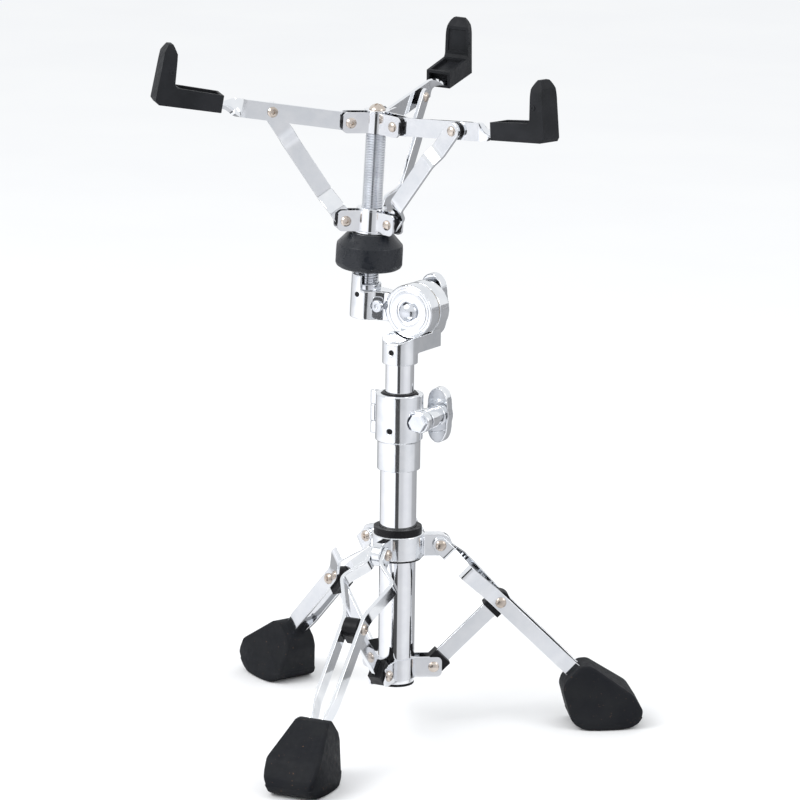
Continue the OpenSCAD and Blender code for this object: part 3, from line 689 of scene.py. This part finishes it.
def disc_ring():
    """Plain raised ring and bead on the front of the turning disc."""
    front = DISC_FRONT
    band = turned([
        (10.5, front + 0.3), (10.5, front - 0.7), (16.2, front - 0.7), (16.2, front + 0.3),
    ], radius=0.35, closed=True, steps=72)
    bead = turned([
        (17.6, front + 0.3), (17.6, front - 0.5), (18.4, front - 0.5), (18.4, front + 0.3),
    ], radius=0.3, closed=True, steps=72)
    piece(put(joined([band, bead]), tilted @ ACROSS), "disc_ring", "casting", "tilter_body")


def lock_plate():
    """Rounded nut plate let into the slanted front of the rod's boss, round the lock screw."""
    bm = slab(eased([(-4.4, -9), (4.4, -9), (4.4, 9), (-4.4, 9)], 3.4), 2.4)
    slant = math.atan2(10.6, 18)
    where = tilted @ Matrix.Translation((-27.6, 9.3, -1.5)) @ Matrix.Rotation(slant, 4, "Z")
    ease_edges(piece(put(bm, where), "lock_plate", "bolt_steel", "tilter_body"), 0.35)


def boss_pin():
    """Roll pin across the rod's boss."""
    ring = turned([(0, 0.05), (1.3, 0.05), (1.6, 0.25), (2.1, 0.1), (2.1, -2), (0, -2)], steps=24)
    where = rod @ Matrix.Rotation(math.radians(265), 4, "Z") @ Matrix.Translation((12.7, 0, 8))
    turn = Matrix.Rotation(math.pi / 2, 4, "Y")
    piece(put(ring, where @ turn), "boss_pin", "bolt_steel", "tilter_body", material=BLACK_STEEL_AND_HOLE_SHADE)


tilt_bolt()
disc_ring()
lock_plate()
boss_pin()


def threaded_rod():
    """Rod with a rolled thread and its nut above the tilter's boss."""
    turns = round((ROD_TOP - ROD_BOTTOM) / THREAD_PITCH) - 1
    bm = bmesh.new()
    verts = []
    for k in range(turns):
        for r, z in ((ROD - 0.55, 0.15), (ROD, 0.4), (ROD, 0.55), (ROD - 0.55, 0.8)):
            verts.append(bm.verts.new((r, 0, ROD_BOTTOM + (k + z) * THREAD_PITCH)))
    edges = [bm.edges.new(pair) for pair in zip(verts, verts[1:])]
    bmesh.ops.spin(
        bm, geom=verts + edges, cent=(0, 0, 0), axis=(0, 0, 1),
        dvec=(0, 0, THREAD_PITCH / 40), angle=2 * math.pi, steps=40, use_merge=False,
    )
    bmesh.ops.remove_doubles(bm, verts=bm.verts, dist=1e-3)
    bmesh.ops.holes_fill(bm, edges=[e for e in bm.edges if e.is_boundary], sides=0)
    nut = turned([
        (0, BOSS_TOP), (ROD + 2.6, BOSS_TOP), (ROD + 2.6, BOSS_TOP + 4.5),
        (ROD + 0.4, BOSS_TOP + 4.5), (ROD + 0.4, BOSS_TOP + 2.5), (0, BOSS_TOP + 2.5),
    ], radius=0.5)
    bm = put(joined([bm, nut]), rod)
    piece(bm, "threaded_rod_cut", "bolt_steel", "tilter_body", ("threaded_rod",))


threaded_rod()

# ------------------------------------------------------------------ basket


def basket_rivets(node, joint, body):
    parts = []
    for name in ARMS:
        side = -axis(f"arm_{name}_turn")
        where = place(pivot(joint.format(name)), side.cross(rod_axis), side)
        parts.append(put(rivet(0, -BRACKET_EAR, BRACKET_EAR, BASKET_RIVET), where))
    piece(joined(parts), node + "_set", "rivet", body, (node,))


def basket_spacers(name_of_set, joint, body):
    """Nylon washers between a bracket's ears and the straps."""
    parts = []
    for name in ARMS:
        side = -axis(f"arm_{name}_turn")
        where = place(pivot(joint.format(name)), side.cross(rod_axis), side)
        for turn in (0, math.pi):
            ring = spacer(STRAP / 2 + 0.05, BRACKET_INSIDE - 0.05)
            parts.append(put(ring, where @ Matrix.Rotation(turn, 4, "Z")))
    piece(joined(parts), name_of_set, "nylon", body)


def arm(name):
    """Strap on edge, twisted flat before the grip."""
    bm = strap_blank(-ARM_STRAP / 2, ARM_LENGTH + FLAT_LENGTH, ARM_STRAP, square_end=True)
    twist_start = ARM_LENGTH - TWIST_LENGTH
    cut(bm, (1, 0, 0), spaced(twist_start - 1, ARM_LENGTH + 4, 1))
    cut(bm, (0, 0, 1), (-3.5, 0, 3.5))
    for vert in bm.verts:
        t = min(1.0, max(0.0, (vert.co.x - twist_start) / TWIST_LENGTH))
        angle = math.pi / 2 * t * t * (3 - 2 * t)
        vert.co = Matrix.Rotation(angle, 3, "X") @ vert.co
    node = f"arm_{name}"
    made = piece(put(bm, arm_place(name)), node + "_strap", "strap", node + "_body", (node,))
    thicken(made, STRAP, 0.55)


def arm_rivet(name):
    reach = link_reach(name) + pivot(f"link_{name}_turn") - pivot(f"arm_{name}_turn")
    x = reach.length / MM
    node = f"arm_rivet_{name}"
    bm = rivet(x, -LINK_AT_ARM - STRAP / 2, STRAP / 2, BASKET_RIVET)
    piece(put(bm, arm_place(name)), node + "_set", "rivet", f"arm_{name}_body", (node,))
    ring = spacer(STRAP / 2 - LINK_AT_ARM + 0.05, -STRAP / 2 - 0.05, x, outer=6.6)
    piece(put(ring, arm_place(name)), f"arm_spacer_{name}", "nylon", f"arm_{name}_body")


def link(name):
    """Brace bent clear of the bracket, then in beside its arm."""
    length = link_reach(name).length / MM
    path = bend([
        (-ARM_STRAP, 0), (12, 0), (22, -LINK_SIDE), (length - 32, -LINK_SIDE),
        (length - 22, -LINK_AT_ARM), (length + ARM_STRAP, -LINK_AT_ARM),
    ], 2.2)
    bm = strap_blank(-LINK_STRAP / 2, length + LINK_STRAP / 2, LINK_STRAP)
    cut(bm, (1, 0, 0), spaced(8, 26, 1.2) + spaced(length - 36, length - 18, 1.2))
    for vert in bm.verts:
        vert.co.y = path(vert.co.x)
    node = f"link_{name}"
    made = piece(put(bm, link_place(name)), node + "_strap", "strap", node + "_body", (node,))
    thicken(made, STRAP, 0.55)


# Side view of a grip, x outwards from its mouth and z up from its sole
GRIP_SIDE = [
    (0, 0.4), (0.6, 0), (GRIP_LENGTH - 3, 0), (GRIP_LENGTH, 3), (GRIP_LENGTH - 1.5, GRIP_HEIGHT - 7),
    (GRIP_LENGTH - 4.5, GRIP_HEIGHT - 0.8), (GRIP_LENGTH - 8, GRIP_HEIGHT - 0.6),
    (GRIP_LENGTH - 11.5, GRIP_HEIGHT - 7), (GRIP_LENGTH - 13, 17), (GRIP_LENGTH - 15, 14.6), (0, 13.6),
]


def grip(name):
    """Rubber grip: a hollow base with a sunk top and an upright pad with an arched head."""
    bm = slab(GRIP_SIDE, GRIP_WIDTH)
    mouth = [f for f in bm.faces if f.normal.x < -0.99 and f.calc_center_median().x < 1]
    top = [f for f in bm.faces if f.normal.z > 0.99 and 13 < f.calc_center_median().z < 15]
    pad = [f for f in bm.faces if f.normal.x < -0.9 and 20 < f.calc_center_median().z < 35]
    sink(bm, mouth, 2.2, 9)
    sink(bm, top, 2.6, 3)
    sink(bm, pad, 2.6, 1)
    cut(bm, (0, 0, 1), spaced(32, GRIP_HEIGHT - 1, 1.5))
    for vert in bm.verts:
        rise = max(0.0, vert.co.z - 30) / (GRIP_HEIGHT - 30)
        vert.co.y *= math.sqrt(max(0.0, 1 - 0.86 * rise**2.6))
        if vert.co.x > GRIP_LENGTH - 8 and vert.co.z > 1:
            vert.co.y *= 0.86
    node = f"grip_{name}"
    made = piece(put(bm, flat_place(name)), node + "_rubber", "rubber", f"arm_{name}_body", (node,))
    ease_edges(made, 0.9, sharper_than=32)
    for side in (-1, 1):
        ring = turned(
            [(0.7, -1.2), (0.8, 0.15), (1.3, 0.3), (2.1, 0.1), (2.2, -1.2)], closed=True, steps=24
        )
        spot = Matrix.Translation((GRIP_LENGTH - 9.5, side * (GRIP_WIDTH / 2 - 0.1), 26))
        turn = ACROSS if side > 0 else ACROSS.inverted()
        eye = piece(
            put(ring, flat_place(name) @ spot @ turn), f"{node}_eye_{'b' if side > 0 else 'a'}",
            "rubber", f"arm_{name}_body",
        )
        eye.data.set_sharp_from_angle(angle=math.radians(60))


basket_rivets("top_rivets", "arm_{}_turn", "tilter_body")
basket_rivets("lower_rivets", "link_{}_turn", "lower_bracket_body")
basket_spacers("top_spacers", "arm_{}_turn", "tilter_body")
basket_spacers("lower_spacers", "link_{}_turn", "lower_bracket_body")
for name in ARMS:
    arm(name)
    arm_rivet(name)
    link(name)
    grip(name)
machined("top_bracket", 0.45)
machined("lower_bracket", 0.45)
machined("lower_sleeve", 0.4)
machined("top_washer", 0.35)
cast("top_screw", 0.22, 3)


def knob():
    """Knob with flats round its side, their edges just eased."""
    made = piece(
        copied("knob"), "knob_finished", slot_of("knob"), body_of("knob"), ("knob",), crease=20
    )
    ease_edges(made, 0.6, sharper_than=20)


knob()

# ------------------------------------------------------- floor and light


def floor():
    bm = bmesh.new()
    bmesh.ops.create_grid(bm, x_segments=1, y_segments=1, size=10)
    mesh = bpy.data.meshes.new("floor")
    bm.to_mesh(mesh)
    bm.free()
    ground = bpy.data.objects.new("floor", mesh)
    bpy.context.scene.collection.objects.link(ground)
    pale = finish("floor_paper", (0.93, 0.93, 0.93), 0.75, Specular_IOR_Level=0.0)
    vary_colour(pale, noise(pale, 3), (0.93, 0.93, 0.93), (0.915, 0.915, 0.92))
    mesh.materials.append(pale)


CARD_INNER = 0.14
CARD_OUTER = 2.6
CARD_WALL = 0.5
CARD_LIFT = 0.0006


def reflection_card():
    """Ring on the floor with a low wall, seen only in reflections, in dark, grey and pale sectors."""
    card = turned([(CARD_INNER, CARD_LIFT), (CARD_OUTER, CARD_LIFT), (CARD_OUTER, CARD_WALL)], steps=96)
    mesh = bpy.data.meshes.new("reflection_card")
    card.to_mesh(mesh)
    card.free()
    ring = bpy.data.objects.new("reflection_card", mesh)
    bpy.context.scene.collection.objects.link(ring)
    sectors = finish("card_sectors", (0.8, 0.8, 0.8), 1.0)
    place_on = nodes_of(sectors).new("ShaderNodeTexCoord")
    turn = nodes_of(sectors).new("ShaderNodeMapping")
    turn.vector_type = "TEXTURE"
    turn.inputs["Rotation"].default_value = (0, 0, math.radians(TOWARD_CAMERA))
    sweep = nodes_of(sectors).new("ShaderNodeTexGradient")
    sweep.gradient_type = "RADIAL"
    tones = nodes_of(sectors).new("ShaderNodeValToRGB")
    join(sectors, place_on.outputs["Object"], turn.inputs["Vector"])
    join(sectors, turn.outputs["Vector"], sweep.inputs["Vector"])
    join(sectors, sweep.outputs["Fac"], tones.inputs["Fac"])
    join(sectors, tones.outputs["Color"], shader_of(sectors).inputs["Base Color"])
    while len(tones.color_ramp.elements) > 1:
        tones.color_ramp.elements.remove(tones.color_ramp.elements[0])
    steps = CARD_TONES
    tones.color_ramp.elements[0].position = 0
    tones.color_ramp.elements[0].color = (steps[0][1],) * 3 + (1,)
    for angle, tone in steps[1:]:
        tones.color_ramp.elements.new((angle + 180) / 360).color = (tone, tone, tone * 1.02, 1)
    mesh.materials.append(sectors)
    ring.visible_camera = False
    ring.visible_diffuse = False
    ring.visible_shadow = False


# Tone of the card by the angle from the camera's side, leftwards negative
CARD_TONES = [
    (-180, 0.30), (-150, 0.34), (-130, 0.72), (-60, 0.95), (-20, 0.86), (-17, 0.03),
    (2, 0.03), (5, 0.50), (24, 0.55), (40, 0.68), (60, 0.72), (90, 0.62), (98, 0.40), (180, 0.28),
]


LIGHT_TARGET = 0.25


def softbox(name, azimuth, elevation, distance, size, power):
    lamp = bpy.data.lights.new(name, "AREA")
    lamp.shape = "SQUARE"
    lamp.size = size
    lamp.energy = power
    light = bpy.data.objects.new(name, lamp)
    bpy.context.scene.collection.objects.link(light)
    around = Matrix.Rotation(math.radians(azimuth), 4, "Z")
    lift = Matrix.Rotation(-math.radians(elevation), 4, "Y")
    away = Matrix.Translation((distance, 0, 0)) @ Matrix.Rotation(math.pi / 2, 4, "Y")
    light.matrix_world = Matrix.Translation((0, 0, LIGHT_TARGET)) @ around @ lift @ away


def sky():
    world = bpy.data.worlds.new("studio")
    world.use_nodes = True
    background = world.node_tree.nodes["Background"]
    background.inputs["Color"].default_value = (0.97, 0.985, 1.0, 1)
    background.inputs["Strength"].default_value = 1.0
    bpy.context.scene.world = world


CAMERA_AZIMUTH = 114.1
CAMERA_ELEVATION = 13.45
CAMERA_ROLL = 0.765
CAMERA_DISTANCE = 2.846
CAMERA_TARGET = Vector((0, 0, 0.26595))
CAMERA_SHIFT = 0.00039
CAMERA_LENS = 165.15
TOWARD_CAMERA = CAMERA_AZIMUTH + 180


def camera():
    turn, lift, roll = (math.radians(a) for a in (CAMERA_AZIMUTH, CAMERA_ELEVATION, CAMERA_ROLL))
    ahead = Vector((math.cos(turn) * math.cos(lift), math.sin(turn) * math.cos(lift), -math.sin(lift)))
    right = ahead.cross(UP).normalized()
    over = right.cross(ahead)
    level = right * math.cos(roll) + over * math.sin(roll)
    upright = over * math.cos(roll) - right * math.sin(roll)
    data = bpy.data.cameras.new("camera")
    data.lens = CAMERA_LENS
    data.sensor_width = 36
    eye = bpy.data.objects.new("camera", data)
    bpy.context.scene.collection.objects.link(eye)
    stand = CAMERA_TARGET + right * CAMERA_SHIFT - ahead * CAMERA_DISTANCE
    eye.matrix_world = Matrix.Translation(stand) @ Matrix((level, upright, -ahead)).transposed().to_4x4()
    bpy.context.scene.camera = eye


floor()
reflection_card()
softbox("softbox_left", TOWARD_CAMERA - 60, 40, 2.2, 1.2, 24)
softbox("softbox_right", TOWARD_CAMERA + 65, 30, 2.4, 1.0, 8)
sky()
camera()
bpy.context.scene.view_settings.view_transform = "Standard"
